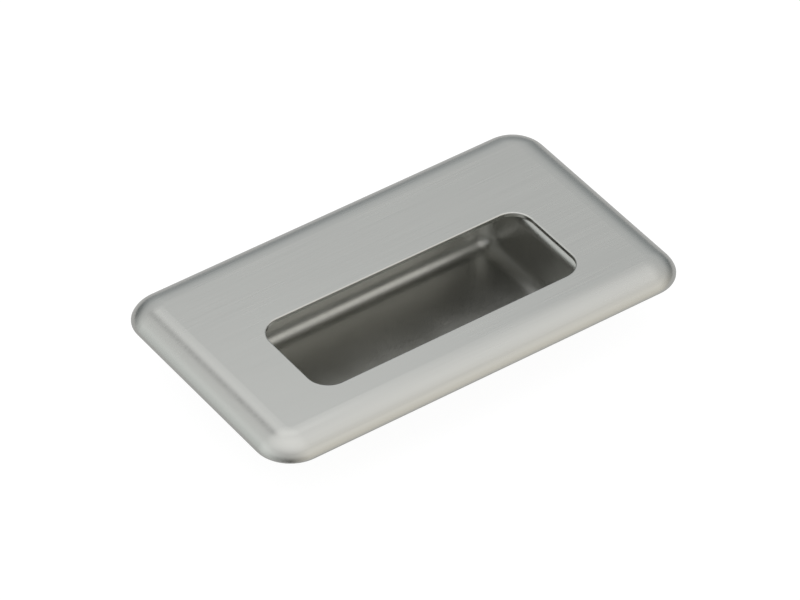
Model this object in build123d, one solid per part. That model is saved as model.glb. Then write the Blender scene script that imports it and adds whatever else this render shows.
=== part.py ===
from build123d import *
from math import acos, asin, cos, degrees, radians, sin, tan
import os

# A recessed pull handle of stainless sheet: a pressed face plate with a
# rolled rim, a deep-drawn pocket pan spot welded behind its opening, and four
# weld studs that fix it to a panel.
#
# Millimetres. +Z points out of the face, X runs along the handle, and +Y
# points to the side whose lip the fingers hook behind. The origin is at the
# middle of the rim's back, on the surface of the panel that carries it.

# --- opening for the fingers -------------------------------------------------
opening_length = 83.2
opening_width = 29.6
opening_corner_radius = 6.2
opening_roll_across = 0.4
opening_roll_down = 0.3

# --- face plate: margins round the opening, and the pressed rim --------------
end_margin = 23.4
near_margin = 15.2
far_margin = 30.5
plate_corner_radius = 10.4
plate_sheet = 1.2
face_height = 4.85
rim_width = 8.5
rim_land = 0.3
rim_start_slope = 70.0

# --- pocket pan ---------------------------------------------------------------
pan_sheet = 1.0
pan_depth = 18.8
pan_bend_radius = 4.2
pan_mouth_across = 2.4
pan_mouth_up = 3.0
pan_end_step = 1.0
flange_width = 5.0
near_flange_gap = 0.5
far_flange_gap = 4.5

# --- spot welds in the flange's back ------------------------------------------
weld_diameter = 2.2
weld_depth = 0.12
welds_per_long_side = 3

# --- weld studs ----------------------------------------------------------------
stud_diameter = 4.0
stud_length = 14.0
stud_collar_diameter = 5.5
stud_collar_height = 0.8
stud_tip_chamfer = 0.5
stud_end_distance = 12.0
stud_side_distance = 12.65

# --- worked out from the sizes above -------------------------------------------
plate_length = opening_length + 2 * end_margin
plate_width = opening_width + near_margin + far_margin
opening_y = (near_margin - far_margin) / 2

# The rim's outside is part of an ellipse: it leaves the land at the start slope
# and is level where it meets the face. These are its angle and half-axes.
bend_rise = face_height - rim_land
bend_angle = acos(1 / (tan(radians(rim_start_slope)) * rim_width / bend_rise - 1))
bend_across = rim_width / sin(bend_angle)
bend_up = bend_rise / (1 - cos(bend_angle))

flat_length = plate_length - 2 * rim_width
flat_width = plate_width - 2 * rim_width
plate_back = face_height - plate_sheet

pan_length = opening_length - 2 * pan_end_step
pan_near = -flat_width / 2 + near_flange_gap + flange_width
pan_far = flat_width / 2 - far_flange_gap - flange_width
pan_width = pan_far - pan_near
pan_y = (pan_near + pan_far) / 2
pan_floor = plate_back - pan_depth

stud_x = plate_length / 2 - stud_end_distance
stud_y = plate_width / 2 - stud_side_distance


def rim_section():
    """The rim's section: x is the distance in from the plate's edge, y is the height.

    A short upright land, the elliptical bend into the face, and the same bend
    again one sheet thickness inside, cut off flat where the rim meets the panel.
    """
    centre = (rim_width, face_height - bend_up)
    inner_across, inner_up = bend_across - plate_sheet, bend_up - plate_sheet
    inner_arc = 90 + degrees(asin(centre[1] / inner_up))
    outer_arc = degrees(bend_angle)
    outside = EllipticalCenterArc(centre, bend_across, bend_up, 90, arc_size=outer_arc)
    inside = EllipticalCenterArc(centre, inner_across, inner_up, 90, arc_size=inner_arc)
    outline = [
        Line((0, 0), outside @ 1),
        outside,
        Line(outside @ 0, inside @ 0),
        inside,
        Line(inside @ 1, (0, 0)),
    ]
    return make_face(outline)


def pan_section():
    """The pan's section: x is the distance in from the flange's edge, y is the height.

    The flange, the bend at the mouth, the wall and the floor's bend as the inside
    shows them, and the same line again one sheet thickness behind.
    """
    mouth = (flange_width - pan_mouth_across, plate_back - pan_mouth_up)
    floor = (flange_width + pan_bend_radius, pan_floor + pan_bend_radius)
    outer_across, outer_up = pan_mouth_across - pan_sheet, pan_mouth_up - pan_sheet
    mouth_inside = EllipticalCenterArc(mouth, pan_mouth_across, pan_mouth_up, 0, arc_size=90)
    mouth_behind = EllipticalCenterArc(mouth, outer_across, outer_up, 0, arc_size=90)
    floor_inside = CenterArc(floor, pan_bend_radius, 180, 90)
    floor_behind = CenterArc(floor, pan_bend_radius + pan_sheet, 180, 90)
    edge_top, edge_bottom = (0, plate_back), (0, plate_back - pan_sheet)
    outline = [
        Line(edge_top, mouth_inside @ 1),
        mouth_inside,
        Line(mouth_inside @ 0, floor_inside @ 0),
        floor_inside,
        Line(floor_inside @ 1, floor_behind @ 1),
        floor_behind,
        Line(floor_behind @ 0, mouth_behind @ 0),
        mouth_behind,
        Line(mouth_behind @ 1, edge_bottom),
        Line(edge_bottom, edge_top),
    ]
    return make_face(outline)


def ring(section, length, width, corner_radius):
    """Four straight sides and four turned corners that carry one section all round.

    The section's x = 0 runs along the ring's outer edge.
    """
    runs = (length - 2 * corner_radius, width - 2 * corner_radius)
    reaches = (width / 2, length / 2)
    pieces = []
    for quarter in range(4):
        run, reach = runs[quarter % 2], reaches[quarter % 2]
        turn = Rot(0, 0, 90 * quarter)
        side = Plane(origin=(-run / 2, -reach, 0), x_dir=(0, 1, 0), z_dir=(1, 0, 0))
        corner = Plane(origin=(run / 2, -reach, 0), x_dir=(0, 1, 0), z_dir=(1, 0, 0))
        corner_axis = Axis((run / 2, -reach + corner_radius, 0), (0, 0, 1))
        pieces.append(turn * extrude(side * section, run))
        pieces.append(turn * revolve(corner * section, corner_axis, 90))
    return pieces


def rounded_block(length, width, radius, bottom, top):
    """An upright block with rounded corners, between two heights."""
    return Pos(0, 0, bottom) * extrude(RectangleRounded(length, width, radius), top - bottom)


def roll_section():
    """What the punch's roll-over takes off the opening's upper edge.

    x is the distance in from the roll-over's outer edge, y is the height.
    """
    above = face_height + 1
    curve = EllipticalCenterArc(
        (0, face_height - opening_roll_down), opening_roll_across, opening_roll_down, 0, arc_size=90
    )
    outline = [
        curve,
        Line(curve @ 1, (0, above)),
        Line((0, above), (opening_roll_across, above)),
        Line((opening_roll_across, above), curve @ 0),
    ]
    return make_face(outline)


def face_plate():
    """The pressed face plate: flat face, rolled rim, and the punched opening."""
    flat_corner = plate_corner_radius - rim_width
    plate = rounded_block(flat_length, flat_width, flat_corner, plate_back, face_height)
    rim = ring(rim_section(), plate_length, plate_width, plate_corner_radius)
    opening = rounded_block(
        opening_length, opening_width, opening_corner_radius, 0, face_height + 1
    )
    roll = ring(
        roll_section(),
        opening_length + 2 * opening_roll_across,
        opening_width + 2 * opening_roll_across,
        opening_corner_radius + opening_roll_across,
    )
    return plate.fuse(*rim).clean() - Pos(0, opening_y, 0) * opening.fuse(*roll).clean()


def weld_places():
    """Centres of the spot welds, along the middle of each long side's flat flange."""
    reach = pan_width / 2 + (flange_width + pan_mouth_across) / 2
    straight = pan_length - 2 * pan_bend_radius
    steps = [i / (welds_per_long_side - 1) - 0.5 for i in range(welds_per_long_side)]
    return [(straight * step, pan_y + side * reach) for side in (-1, 1) for step in steps]


def pocket_pan():
    """The deep-drawn pan: flat floor, rounded walls, and the flange it is welded by."""
    floor_length, floor_width = pan_length - 2 * pan_bend_radius, pan_width - 2 * pan_bend_radius
    floor = Pos(0, 0, pan_floor - pan_sheet / 2) * Box(floor_length, floor_width, pan_sheet)
    walls = ring(
        pan_section(),
        pan_length + 2 * flange_width,
        pan_width + 2 * flange_width,
        pan_bend_radius + flange_width,
    )
    pan = Pos(0, pan_y, 0) * floor.fuse(*walls).clean()
    for x, y in weld_places():
        pan -= Pos(x, y, plate_back - pan_sheet) * Cylinder(weld_diameter / 2, 2 * weld_depth)
    return pan


def weld_stud():
    """A weld stud hanging from z = 0: a collar at its root and a chamfered tip."""
    hang = (Align.CENTER, Align.CENTER, Align.MAX)
    shank = Cylinder(stud_diameter / 2, stud_length, align=hang)
    shank = chamfer(shank.edges().group_by(Axis.Z)[0], stud_tip_chamfer)
    return shank + Cylinder(stud_collar_diameter / 2, stud_collar_height, align=hang)


def studs():
    """One stud near each corner of the plate, clear of the pan's flange and the rim."""
    corners = [(-1, -1), (1, -1), (1, 1), (-1, 1)]
    return {
        f"stud_{number}": Pos(side_x * stud_x, side_y * stud_y, plate_back) * weld_stud()
        for number, (side_x, side_y) in enumerate(corners, 1)
    }


nodes = {"face_plate": face_plate(), "pocket_pan": pocket_pan(), **studs()}

os.makedirs("parts", exist_ok=True)
for name, shape in nodes.items():
    export_step(shape, f"parts/{name}.step")
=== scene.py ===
"""Looks of a recessed pull handle: brushed steel plate, drawn pan, threaded weld studs.

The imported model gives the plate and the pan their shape; this file gives them their
finish, builds the studs with their threads, and sets the small studio they stand in.
Lengths are metres, in the part's own frame: +Z out of the face, X along the handle.
"""

from math import cos, pi, radians, sin

import bpy
import numpy as np
from bpy.props import FloatProperty, FloatVectorProperty, IntProperty, PointerProperty
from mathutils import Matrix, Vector


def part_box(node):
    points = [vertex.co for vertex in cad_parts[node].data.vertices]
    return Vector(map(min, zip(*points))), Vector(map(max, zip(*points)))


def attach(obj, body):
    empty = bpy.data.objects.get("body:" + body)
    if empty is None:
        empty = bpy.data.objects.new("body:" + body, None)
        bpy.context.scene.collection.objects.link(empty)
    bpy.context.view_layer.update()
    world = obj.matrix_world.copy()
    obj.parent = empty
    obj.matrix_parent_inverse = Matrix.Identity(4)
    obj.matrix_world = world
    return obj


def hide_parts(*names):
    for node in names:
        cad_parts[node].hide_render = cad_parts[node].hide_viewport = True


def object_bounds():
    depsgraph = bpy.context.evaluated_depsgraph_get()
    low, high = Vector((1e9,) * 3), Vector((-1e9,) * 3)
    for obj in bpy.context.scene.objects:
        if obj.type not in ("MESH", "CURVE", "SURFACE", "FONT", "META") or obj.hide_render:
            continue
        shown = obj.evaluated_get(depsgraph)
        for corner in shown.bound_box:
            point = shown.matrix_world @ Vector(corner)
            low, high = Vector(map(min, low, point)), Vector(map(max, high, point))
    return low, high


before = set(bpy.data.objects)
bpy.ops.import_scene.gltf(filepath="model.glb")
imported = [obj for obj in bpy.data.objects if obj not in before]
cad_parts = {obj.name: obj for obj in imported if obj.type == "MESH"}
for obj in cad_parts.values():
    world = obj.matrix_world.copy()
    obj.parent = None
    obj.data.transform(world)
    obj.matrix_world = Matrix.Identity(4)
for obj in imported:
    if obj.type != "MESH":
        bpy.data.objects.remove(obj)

bl_info = {
    "name": "Recessed pull handle",
    "version": (1, 0, 0),
    "blender": (4, 5, 0),
    "location": "View3D > Sidebar > Pull handle",
    "description": "Finishes a recessed pull handle of stainless sheet and its studio",
    "category": "Object",
}

MM = 0.001
NOISE_RANGE = (0.3, 0.7)
SHARP_ANGLE = radians(28)
CAD_LOW, CAD_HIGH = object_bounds()


# --- settings -----------------------------------------------------------------


class SteelSettings(bpy.types.PropertyGroup):
    """Colour, gloss and grain of the sheet steel."""

    plate_colour: FloatVectorProperty(
        name="Plate colour",
        description="Mirror colour of the brushed face plate",
        default=(0.585, 0.585, 0.560),
        subtype="COLOR",
        min=0,
        max=1,
    )
    plate_roughness: FloatProperty(
        name="Plate roughness",
        description="Mean roughness of the brushed face plate",
        default=0.24,
        subtype="FACTOR",
        min=0,
        max=1,
    )
    grain_length: FloatProperty(
        name="Grain length",
        description="Mean length of a brush mark on the plate",
        default=30 * MM,
        subtype="DISTANCE",
    )
    grain_width: FloatProperty(
        name="Grain width",
        description="Mean width of a brush mark on the plate",
        default=0.45 * MM,
        subtype="DISTANCE",
    )
    pan_colour: FloatVectorProperty(
        name="Pan colour",
        description="Mirror colour of the deep-drawn pan",
        default=(0.54, 0.54, 0.515),
        subtype="COLOR",
        min=0,
        max=1,
    )
    pan_roughness: FloatProperty(
        name="Pan roughness",
        description="Mean roughness of the deep-drawn pan",
        default=0.35,
        subtype="FACTOR",
        min=0,
        max=1,
    )
    stud_colour: FloatVectorProperty(
        name="Stud colour",
        description="Mirror colour of the weld studs",
        default=(0.60, 0.58, 0.54),
        subtype="COLOR",
        min=0,
        max=1,
    )
    stud_roughness: FloatProperty(
        name="Stud roughness",
        description="Mean roughness of the weld studs",
        default=0.28,
        subtype="FACTOR",
        min=0,
        max=1,
    )


class StudSettings(bpy.types.PropertyGroup):
    """The shape of each weld stud and the thread that is rolled on it."""

    pitch: FloatProperty(
        name="Pitch",
        description="Distance from one turn of the thread to the next",
        default=0.7 * MM,
        subtype="DISTANCE",
    )
    depth: FloatProperty(
        name="Depth",
        description="Height of the thread from its root to its crest",
        default=0.40 * MM,
        subtype="DISTANCE",
    )
    run_out: FloatProperty(
        name="Run-out",
        description="Length below the collar over which the thread fades away",
        default=1.2 * MM,
        subtype="DISTANCE",
    )
    shank_radius: FloatProperty(
        name="Shank radius",
        description="Radius over the thread's crests",
        default=2.0 * MM,
        subtype="DISTANCE",
    )
    tip_chamfer: FloatProperty(
        name="Tip chamfer",
        description="How much smaller than the shank the tip starts",
        default=0.5 * MM,
        subtype="DISTANCE",
    )
    collar_height: FloatProperty(
        name="Collar height",
        description="Height of the collar by which the stud is welded on",
        default=0.8 * MM,
        subtype="DISTANCE",
    )
    collar_edge: FloatProperty(
        name="Collar edge",
        description="Size of the bevel round the collar's free edge",
        default=0.15 * MM,
        subtype="DISTANCE",
    )
    columns: IntProperty(
        name="Columns",
        description="Steps round the stud",
        default=48,
        min=12,
    )
    rows_per_turn: IntProperty(
        name="Rows per turn",
        description="Steps along the stud for each turn of the thread",
        default=14,
        min=8,
    )


class StudioSettings(bpy.types.PropertyGroup):
    """Camera, floor and light."""

    azimuth: FloatProperty(
        name="Azimuth",
        description="Camera's bearing, from -Y towards +X",
        default=radians(-35.34),
        subtype="ANGLE",
    )
    elevation: FloatProperty(
        name="Elevation",
        description="Camera's height above the horizon",
        default=radians(41.12),
        subtype="ANGLE",
    )
    distance: FloatProperty(
        name="Distance",
        description="From the camera to the middle of the part",
        default=1.498,
        subtype="DISTANCE",
    )
    lens: FloatProperty(
        name="Lens",
        description="Focal length on a 36 mm sensor, in millimetres",
        default=259.97,
    )
    aim_right: FloatProperty(
        name="Aim right",
        description="How far the camera stands to the right of its line to the origin",
        default=-1.25 * MM,
        subtype="DISTANCE",
    )
    aim_up: FloatProperty(
        name="Aim up",
        description="How far the camera stands above its line to the origin",
        default=-1.14 * MM,
        subtype="DISTANCE",
    )
    floor_size: FloatProperty(
        name="Floor size",
        description="Side of the square floor",
        default=6.0,
        subtype="DISTANCE",
    )
    floor_matt: FloatProperty(
        name="Floor paleness",
        description="How pale the floor is to the light that bounces off it",
        default=0.80,
        subtype="FACTOR",
        min=0,
        max=1,
    )
    floor_shadow: FloatProperty(
        name="Floor shadow",
        description="How much the camera sees of the light on the floor, and so of the shadow",
        default=0.16,
        subtype="FACTOR",
        min=0,
        max=1,
    )
    floor_gap: FloatProperty(
        name="Floor gap",
        description="From the part's lowest point down to the floor",
        default=0.1 * MM,
        subtype="DISTANCE",
    )
    floor_glow: FloatProperty(
        name="Floor glow",
        description="How white the floor is to the camera, before the light that falls on it",
        default=0.93,
    )
    floor_glow_in_metal: FloatProperty(
        name="Floor glow in metal",
        description="The same for the floor as metal and glass show it",
        default=0.45,
    )
    softbox_towards: FloatVectorProperty(
        name="Softbox direction",
        description="From the part towards the lamp",
        default=(0.18, 0.50, 0.85),
        subtype="DIRECTION",
    )
    softbox_distance: FloatProperty(
        name="Softbox distance",
        description="From the part to the lamp",
        default=0.60,
        subtype="DISTANCE",
    )
    softbox_width: FloatProperty(
        name="Softbox width",
        description="Side of the lamp along the horizon",
        default=0.32,
        subtype="DISTANCE",
    )
    softbox_height: FloatProperty(
        name="Softbox height",
        description="Side of the lamp that leans with it",
        default=0.30,
        subtype="DISTANCE",
    )
    softbox_brightness: FloatProperty(
        name="Softbox brightness",
        description="How bright the lamp's face is, where 1 is white",
        default=0.20,
    )


# --- node helpers ---------------------------------------------------------------


class Nodes:
    """A node tree with short calls to add a node and to join two sockets."""

    def __init__(self, owner):
        owner.use_nodes = True
        self.tree = owner.node_tree
        self.tree.nodes.clear()

    def add(self, kind, **values):
        """Adds a node; values set its properties."""
        node = self.tree.nodes.new(kind)
        for name, value in values.items():
            setattr(node, name, value)
        return node

    def join(self, out_socket, in_socket):
        """Links one socket to another."""
        self.tree.links.new(out_socket, in_socket)

    def maths(self, operation, first, second=None):
        """A Math node on sockets or numbers; gives its output."""
        node = self.add("ShaderNodeMath", operation=operation)
        for socket, value in zip(node.inputs, (first, second)):
            if value is None:
                continue
            if isinstance(value, bpy.types.NodeSocket):
                self.join(value, socket)
            else:
                socket.default_value = value
        return node.outputs[0]

    def spread(self, value, low, high):
        """A Map Range node from a noise's usual range to low and high; gives its output."""
        node = self.add("ShaderNodeMapRange")
        node.inputs["From Min"].default_value, node.inputs["From Max"].default_value = NOISE_RANGE
        node.inputs["To Min"].default_value = low
        node.inputs["To Max"].default_value = high
        self.join(value, node.inputs["Value"])
        return node.outputs["Result"]

    def noise(self, vector, scale, detail):
        """A Noise texture read at vector; gives its grey output."""
        node = self.add("ShaderNodeTexNoise")
        node.inputs["Scale"].default_value = scale
        node.inputs["Detail"].default_value = detail
        self.join(vector, node.inputs["Vector"])
        return node.outputs["Fac"]

    def stretched(self, vector, scale):
        """A Mapping node that scales a vector axis by axis; gives its output."""
        node = self.add("ShaderNodeMapping")
        node.inputs["Scale"].default_value = scale
        self.join(vector, node.inputs["Vector"])
        return node.outputs["Vector"]

    def tinted(self, colour, shade, low, high):
        """colour made darker or lighter by a grey pattern, from low to high."""
        return self.scaled(colour, self.spread(shade, low, high))

    def scaled(self, colour, factor):
        """colour times the number from a socket; gives its output."""
        node = self.add("ShaderNodeVectorMath", operation="SCALE")
        node.inputs[0].default_value = colour
        self.join(factor, node.inputs["Scale"])
        return node.outputs["Vector"]

    def bumped(self, height, distance, strength):
        """A Bump node raised by height; gives its normal."""
        node = self.add("ShaderNodeBump")
        node.inputs["Strength"].default_value = strength
        node.inputs["Distance"].default_value = distance
        self.join(height, node.inputs["Height"])
        return node.outputs["Normal"]

    def finish_metal(self, colour, roughness, normal=None):
        """Ends a material as bare metal with this colour, roughness and normal."""
        shader = self.add("ShaderNodeBsdfPrincipled")
        shader.inputs["Metallic"].default_value = 1.0
        self.join(colour, shader.inputs["Base Color"])
        self.join(roughness, shader.inputs["Roughness"])
        if normal is not None:
            self.join(normal, shader.inputs["Normal"])
        self.finish_surface(shader.outputs["BSDF"])

    def finish_surface(self, shader, output="ShaderNodeOutputMaterial"):
        """Joins a shader to the tree's output."""
        self.join(shader, self.add(output).inputs["Surface"])


# --- materials ------------------------------------------------------------------

# How fine the patterns are, in cells to the metre.
PLATE_CLOUDS, PAN_CLOUDS, STUD_CLOUDS = 28.0, 60.0, 900.0
PAN_SPECKLES = 2000.0
PAN_DRAW_LINES = (1500.0, 1500.0, 60.0)


def brushed_steel(settings):
    """Linear brushed stainless steel: brush marks along X in height, gloss and tone."""
    material = bpy.data.materials.new("brushed_steel")
    nodes = Nodes(material)
    place = nodes.add("ShaderNodeTexCoord").outputs["Object"]
    along, across = 1 / settings.grain_length, 1 / settings.grain_width
    marks = nodes.noise(nodes.stretched(place, (along, across, across)), 1.0, detail=1.0)
    cloud = nodes.noise(place, PLATE_CLOUDS, detail=2.0)
    rough = settings.plate_roughness
    gloss = nodes.spread(marks, rough - 0.03, rough + 0.03)
    patch = nodes.spread(cloud, -0.015, 0.015)
    nodes.finish_metal(
        nodes.tinted(settings.plate_colour, marks, 0.985, 1.015),
        nodes.maths("ADD", gloss, patch),
        nodes.bumped(marks, distance=0.005 * MM, strength=0.15),
    )
    return material


def drawn_steel(settings):
    """Satin steel of the drawn pan: fine speckle, with faint upright draw lines on its walls."""
    material = bpy.data.materials.new("drawn_steel")
    nodes = Nodes(material)
    place = nodes.add("ShaderNodeTexCoord").outputs["Object"]
    speckle = nodes.noise(place, PAN_SPECKLES, detail=3.0)
    lines = nodes.noise(nodes.stretched(place, PAN_DRAW_LINES), 1.0, detail=2.0)
    cloud = nodes.noise(place, PAN_CLOUDS, detail=3.0)
    rough = settings.pan_roughness
    gloss = nodes.spread(lines, rough - 0.04, rough + 0.04)
    patch = nodes.spread(cloud, -0.03, 0.03)
    nodes.finish_metal(
        nodes.tinted(settings.pan_colour, cloud, 0.96, 1.04),
        nodes.maths("ADD", gloss, patch),
        nodes.bumped(nodes.maths("ADD", speckle, lines), distance=0.02 * MM, strength=0.12),
    )
    return material


def stud_steel(settings):
    """Bright rolled steel of the studs: glossy, with fine cloudy wear."""
    material = bpy.data.materials.new("stud_steel")
    nodes = Nodes(material)
    place = nodes.add("ShaderNodeTexCoord").outputs["Object"]
    cloud = nodes.noise(place, STUD_CLOUDS, detail=3.0)
    rough = settings.stud_roughness
    nodes.finish_metal(
        nodes.tinted(settings.stud_colour, cloud, 0.92, 1.05),
        nodes.spread(cloud, rough - 0.06, rough + 0.06),
    )
    return material


def dress(node_name, material):
    """Gives a CAD node's object its material in every slot."""
    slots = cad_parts[node_name].data.materials
    slots.clear()
    slots.append(material)


# --- surfaces -------------------------------------------------------------------


def ring_stack(name, radii, heights, centre):
    """A round surface about an upright axis.

    radii is rows by columns, heights has one value for each row, and the point of row i
    and column j is centre + (r cos t, r sin t, z), with t = 2 pi j / columns. Both ends
    are closed with a point on the axis.
    """
    rows, columns = radii.shape
    turn = 2 * pi * np.arange(columns) / columns
    x = centre[0] + radii * np.cos(turn)
    y = centre[1] + radii * np.sin(turn)
    z = np.broadcast_to(centre[2] + heights[:, None], radii.shape)
    ring = np.stack([x, y, z], axis=-1).reshape(-1, 3)
    poles = np.array([[*centre[:2], centre[2] + heights[end]] for end in (0, -1)])
    here = np.arange(rows * columns).reshape(rows, columns)
    beside = np.roll(here, -1, axis=1)
    sides = np.stack([here[:-1], beside[:-1], beside[1:], here[1:]], axis=-1).reshape(-1, 4)
    low = np.stack([beside[0], here[0], np.full(columns, rows * columns)], axis=-1)
    high = np.stack([here[-1], beside[-1], np.full(columns, rows * columns + 1)], axis=-1)
    faces = [*sides.tolist(), *low.tolist(), *high.tolist()]
    mesh = bpy.data.meshes.new(name)
    mesh.from_pydata(np.vstack([ring, poles]).tolist(), [], faces)
    return mesh


def piece_from(mesh, material):
    """An object at the origin for a finished mesh, with one material."""
    mesh.materials.append(material)
    piece = bpy.data.objects.new(mesh.name, mesh)
    bpy.context.scene.collection.objects.link(piece)
    return piece


def thread_shape(phase):
    """Height of a metric thread, 0 at the root and 1 at the crest, over one turn.

    phase runs from 0 to 1 along the axis: a quarter of root, a flank, an eighth of
    crest, and a flank back.
    """
    root, crest = 0.25, 0.125
    flank = (1 - root - crest) / 2
    away = np.abs((phase % 1) - 0.5)
    return np.clip((0.5 - root / 2 - away) / flank, 0, 1)


# The part of the run-out, next to the collar, that has no thread at all.
PLAIN_SHARE = 0.15


def threaded_stud(name, node, settings, material):
    """A weld stud: collar at the plate, then the thread, down to a chamfered tip.

    Going up from the tip, the radius is the smaller of the chamfer's and the thread's:
    r = crest - depth * fade * (1 - thread(z / pitch - t / 2 pi)), where t is the angle
    and fade falls to 0 over the run-out below the collar, with the last share of it plain.
    """
    low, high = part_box(node)
    centre = ((low.x + high.x) / 2, (low.y + high.y) / 2, low.z)
    length = high.z - low.z
    collar_radius = (high.x - low.x) / 2
    crest, edge = settings.shank_radius, settings.collar_edge
    shank = length - settings.collar_height

    heights = np.linspace(0, shank, int(shank / settings.pitch * settings.rows_per_turn) + 1)
    turn = np.arange(settings.columns) / settings.columns
    fade = np.clip((shank - heights) / settings.run_out - PLAIN_SHARE, 0, 1)[:, None]
    groove = 1 - thread_shape(heights[:, None] / settings.pitch - turn[None, :])
    radii = crest - settings.depth * fade * groove
    radii = np.minimum(radii, (crest - settings.tip_chamfer + heights)[:, None])

    collar_radii = [collar_radius - edge, collar_radius, collar_radius]
    collar_heights = [shank, shank + edge, length]
    collar = np.repeat(np.array(collar_radii)[:, None], settings.columns, axis=1)
    mesh = ring_stack(
        name,
        np.vstack([radii, collar]),
        np.concatenate([heights, collar_heights]),
        centre,
    )
    mesh.shade_smooth()
    mesh.set_sharp_from_angle(angle=SHARP_ANGLE)
    return piece_from(mesh, material)


# --- operators ------------------------------------------------------------------


class PULLHANDLE_OT_face_plate(bpy.types.Operator):
    """Give the face plate its brushed steel"""

    bl_idname = "pull_handle.face_plate"
    bl_label = "Face plate"

    def execute(self, context):
        dress("face_plate", brushed_steel(context.scene.pull_handle_steel))
        return {"FINISHED"}


class PULLHANDLE_OT_pocket_pan(bpy.types.Operator):
    """Give the drawn pan its satin steel"""

    bl_idname = "pull_handle.pocket_pan"
    bl_label = "Pocket pan"

    def execute(self, context):
        dress("pocket_pan", drawn_steel(context.scene.pull_handle_steel))
        return {"FINISHED"}


class PULLHANDLE_OT_weld_studs(bpy.types.Operator):
    """Build the weld studs with their threads, in place of the plain ones"""

    bl_idname = "pull_handle.weld_studs"
    bl_label = "Weld studs"

    def execute(self, context):
        material = stud_steel(context.scene.pull_handle_steel)
        plain_studs = sorted(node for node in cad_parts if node.startswith("stud_"))
        if not plain_studs:
            raise RuntimeError("the frame has no studs")
        for node in plain_studs:
            stud = threaded_stud(
                f"threaded_{node}", node, context.scene.pull_handle_stud, material
            )
            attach(stud, "root")
            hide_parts(node)
        return {"FINISHED"}


def grey(level):
    """An opaque grey."""
    return (level, level, level, 1)


def pale_floor(studio):
    """Pale floor: white to the camera, with the part's soft shadow kept.

    Metal and glass show the same floor at its own, lower level; other rays see it matt.
    """
    material = bpy.data.materials.new("pale_floor")
    nodes = Nodes(material)
    matt = nodes.add("ShaderNodeBsdfDiffuse")
    matt.inputs["Color"].default_value = grey(studio.floor_matt)
    faint = nodes.add("ShaderNodeBsdfDiffuse")
    faint.inputs["Color"].default_value = grey(studio.floor_shadow)
    path = nodes.add("ShaderNodeLightPath").outputs
    mirrored = nodes.maths("MAXIMUM", path["Is Glossy Ray"], path["Is Transmission Ray"])
    glow = nodes.add("ShaderNodeEmission")
    strength = nodes.maths(
        "ADD",
        nodes.maths("MULTIPLY", path["Is Camera Ray"], studio.floor_glow),
        nodes.maths("MULTIPLY", mirrored, studio.floor_glow_in_metal),
    )
    nodes.join(strength, glow.inputs["Strength"])
    white = nodes.add("ShaderNodeAddShader")
    nodes.join(faint.outputs["BSDF"], white.inputs[0])
    nodes.join(glow.outputs["Emission"], white.inputs[1])
    mix = nodes.add("ShaderNodeMixShader")
    nodes.join(nodes.maths("MAXIMUM", path["Is Camera Ray"], mirrored), mix.inputs["Fac"])
    nodes.join(matt.outputs["BSDF"], mix.inputs[1])
    nodes.join(white.outputs["Shader"], mix.inputs[2])
    nodes.finish_surface(mix.outputs["Shader"])
    return material


# The room's light: how bright its dome is at a height between the horizon and overhead,
# the pale screens that stand round the table, as direction, tightness and colour, and the
# dark gaps between them, as direction, tightness and depth.
DOME = (
    (0.0, 0.11),
    (0.15, 0.12),
    (0.30, 0.20),
    (0.50, 0.46),
    (0.70, 0.54),
    (0.85, 0.83),
    (1.0, 1.06),
)
SCREENS = (
    ((-0.95, 0.30, 0.10), 4, (0.68, 0.71, 0.70)),
    ((-0.70, 0.60, 0.40), 8, (0.14, 0.15, 0.15)),
    ((0.45, -0.88, 0.10), 3.5, (0.76, 0.73, 0.66)),
    ((0.35, 0.90, 0.25), 6, (0.22, 0.24, 0.25)),
    ((0.92, 0.30, 0.25), 6, (0.15, 0.17, 0.18)),
)
GAPS = (
    ((-0.05, 0.61, 0.79), 150, 0.42),
    ((-0.06, 0.98, 0.10), 25, 0.17),
    ((0.96, 0.24, 0.08), 25, 0.14),
    ((-0.58, -0.81, 0.0), 50, 0.25),
)


def screen_glow(nodes, direction, towards, tightness, colour):
    """A soft round glow: colour times exp(tightness (cos angle - 1)) about a direction."""
    aim = nodes.add("ShaderNodeVectorMath", operation="DOT_PRODUCT")
    nodes.join(direction, aim.inputs[0])
    aim.inputs[1].default_value = Vector(towards).normalized()
    off_axis = nodes.maths("SUBTRACT", aim.outputs["Value"], 1.0)
    falloff = nodes.maths("EXPONENT", nodes.maths("MULTIPLY", off_axis, tightness))
    return nodes.scaled(colour, falloff)


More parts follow.
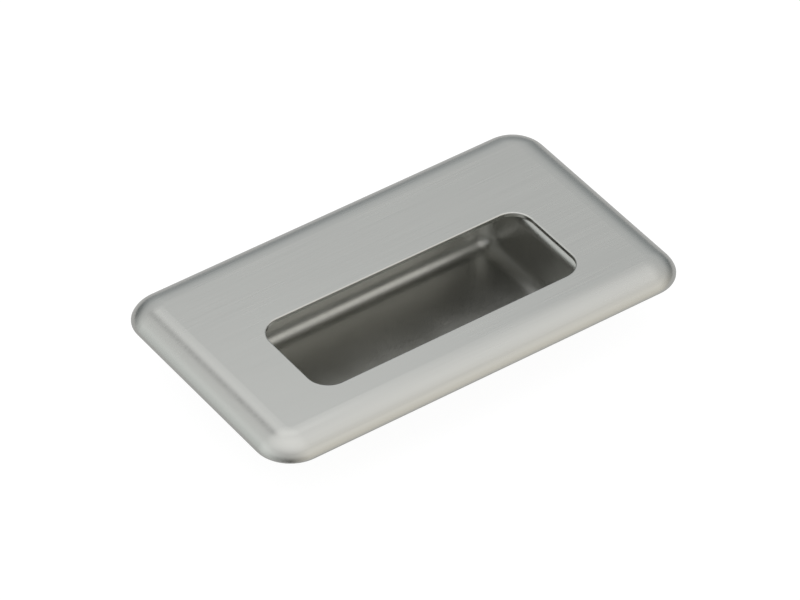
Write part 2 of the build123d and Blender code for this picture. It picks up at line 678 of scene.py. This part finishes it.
def studio_world():
    """Room light: a dome, pale screens and the dark gaps between; white to the camera."""
    world = bpy.data.worlds.new("studio")
    nodes = Nodes(world)
    direction = nodes.add("ShaderNodeTexCoord").outputs["Generated"]
    split = nodes.add("ShaderNodeSeparateXYZ")
    nodes.join(direction, split.inputs[0])
    ramp = nodes.add("ShaderNodeValToRGB")
    stops = ramp.color_ramp.elements
    while len(stops) < len(DOME):
        stops.new(0.5)
    for stop, (height, level) in zip(stops, DOME):
        stop.position = height
        stop.color = grey(level)
    nodes.join(split.outputs["Z"], ramp.inputs["Fac"])
    light = ramp.outputs["Color"]
    gaps = [(towards, tightness, (-depth,) * 3) for towards, tightness, depth in GAPS]
    for screen in (*SCREENS, *gaps):
        both = nodes.add("ShaderNodeVectorMath", operation="ADD")
        nodes.join(light, both.inputs[0])
        nodes.join(screen_glow(nodes, direction, *screen), both.inputs[1])
        light = both.outputs["Vector"]
    room = nodes.add("ShaderNodeBackground")
    nodes.join(light, room.inputs["Color"])
    white = nodes.add("ShaderNodeBackground")
    white.inputs["Color"].default_value = grey(1)
    mix = nodes.add("ShaderNodeMixShader")
    nodes.join(nodes.add("ShaderNodeLightPath").outputs["Is Camera Ray"], mix.inputs["Fac"])
    nodes.join(room.outputs["Background"], mix.inputs[1])
    nodes.join(white.outputs["Background"], mix.inputs[2])
    nodes.finish_surface(mix.outputs["Shader"], "ShaderNodeOutputWorld")
    return world


def softbox(studio):
    """An area lamp that faces the origin; brightness 1 is as bright as white."""
    width, height = studio.softbox_width, studio.softbox_height
    data = bpy.data.lights.new("softbox_over", "AREA")
    data.shape = "RECTANGLE"
    data.size, data.size_y = width, height
    data.energy = studio.softbox_brightness * pi * width * height
    lamp = bpy.data.objects.new("softbox_over", data)
    outward = Vector(studio.softbox_towards).normalized()
    lamp.location = outward * studio.softbox_distance
    lamp.rotation_mode = "QUATERNION"
    lamp.rotation_quaternion = (-outward).to_track_quat("-Z", "Y")
    bpy.context.scene.collection.objects.link(lamp)


def set_camera(studio):
    """The camera stands back from the origin along its bearing, a little off the line."""
    a, e = studio.azimuth, studio.elevation
    back = Vector((sin(a) * cos(e), -cos(a) * cos(e), sin(e)))
    right = Vector((cos(a), sin(a), 0))
    up = back.cross(right)
    data = bpy.data.cameras.new("camera")
    data.sensor_width = 36
    data.lens = studio.lens
    data.clip_start, data.clip_end = 0.05, 20
    camera = bpy.data.objects.new("camera", data)
    camera.location = back * studio.distance + right * studio.aim_right + up * studio.aim_up
    camera.rotation_mode = "QUATERNION"
    camera.rotation_quaternion = (-back).to_track_quat("-Z", "Y")
    bpy.context.scene.collection.objects.link(camera)
    bpy.context.scene.camera = camera


class PULLHANDLE_OT_studio(bpy.types.Operator):
    """Set the pale floor, the room light, the softbox and the camera"""

    bl_idname = "pull_handle.studio"
    bl_label = "Studio"

    def execute(self, context):
        scene = context.scene
        studio = scene.pull_handle_studio
        scene.view_settings.view_transform = "Standard"
        scene.world = studio_world()

        half = studio.floor_size / 2
        height = CAD_LOW.z - studio.floor_gap
        corners = [(-half, -half), (half, -half), (half, half), (-half, half)]
        mesh = bpy.data.meshes.new("floor")
        mesh.from_pydata([(x, y, height) for x, y in corners], [], [(0, 1, 2, 3)])
        piece_from(mesh, pale_floor(studio))

        softbox(studio)
        set_camera(studio)
        return {"FINISHED"}


class PULLHANDLE_PT_panel(bpy.types.Panel):
    """Lists the steps that make the handle, with their settings"""

    bl_idname = "PULLHANDLE_PT_panel"
    bl_label = "Pull handle"
    bl_space_type = "VIEW_3D"
    bl_region_type = "UI"
    bl_category = "Pull handle"

    def draw(self, context):
        for group_name, steps in STEPS:
            box = self.layout.box()
            group = getattr(context.scene, group_name)
            for setting in group.bl_rna.properties:
                if setting.identifier not in ("rna_type", "name"):
                    box.prop(group, setting.identifier)
            for step in steps:
                box.operator(step.bl_idname)


# --- running --------------------------------------------------------------------

STEPS = (
    ("pull_handle_steel", (PULLHANDLE_OT_face_plate, PULLHANDLE_OT_pocket_pan)),
    ("pull_handle_stud", (PULLHANDLE_OT_weld_studs,)),
    ("pull_handle_studio", (PULLHANDLE_OT_studio,)),
)
GROUPS = {
    "pull_handle_steel": SteelSettings,
    "pull_handle_stud": StudSettings,
    "pull_handle_studio": StudioSettings,
}
CLASSES = (
    *GROUPS.values(),
    PULLHANDLE_OT_face_plate,
    PULLHANDLE_OT_pocket_pan,
    PULLHANDLE_OT_weld_studs,
    PULLHANDLE_OT_studio,
    PULLHANDLE_PT_panel,
)


def register():
    """Registers the classes and hangs the settings on the scene."""
    for cls in CLASSES:
        bpy.utils.register_class(cls)
    for name, group in GROUPS.items():
        setattr(bpy.types.Scene, name, PointerProperty(type=group))


def unregister():
    """Takes the settings and the classes away again."""
    for name in GROUPS:
        delattr(bpy.types.Scene, name)
    for cls in reversed(CLASSES):
        bpy.utils.unregister_class(cls)


def main():
    """Makes every piece, then the studio."""
    register()
    bpy.ops.pull_handle.face_plate()
    bpy.ops.pull_handle.pocket_pan()
    bpy.ops.pull_handle.weld_studs()
    bpy.ops.pull_handle.studio()


if __name__ == "__main__":
    main()
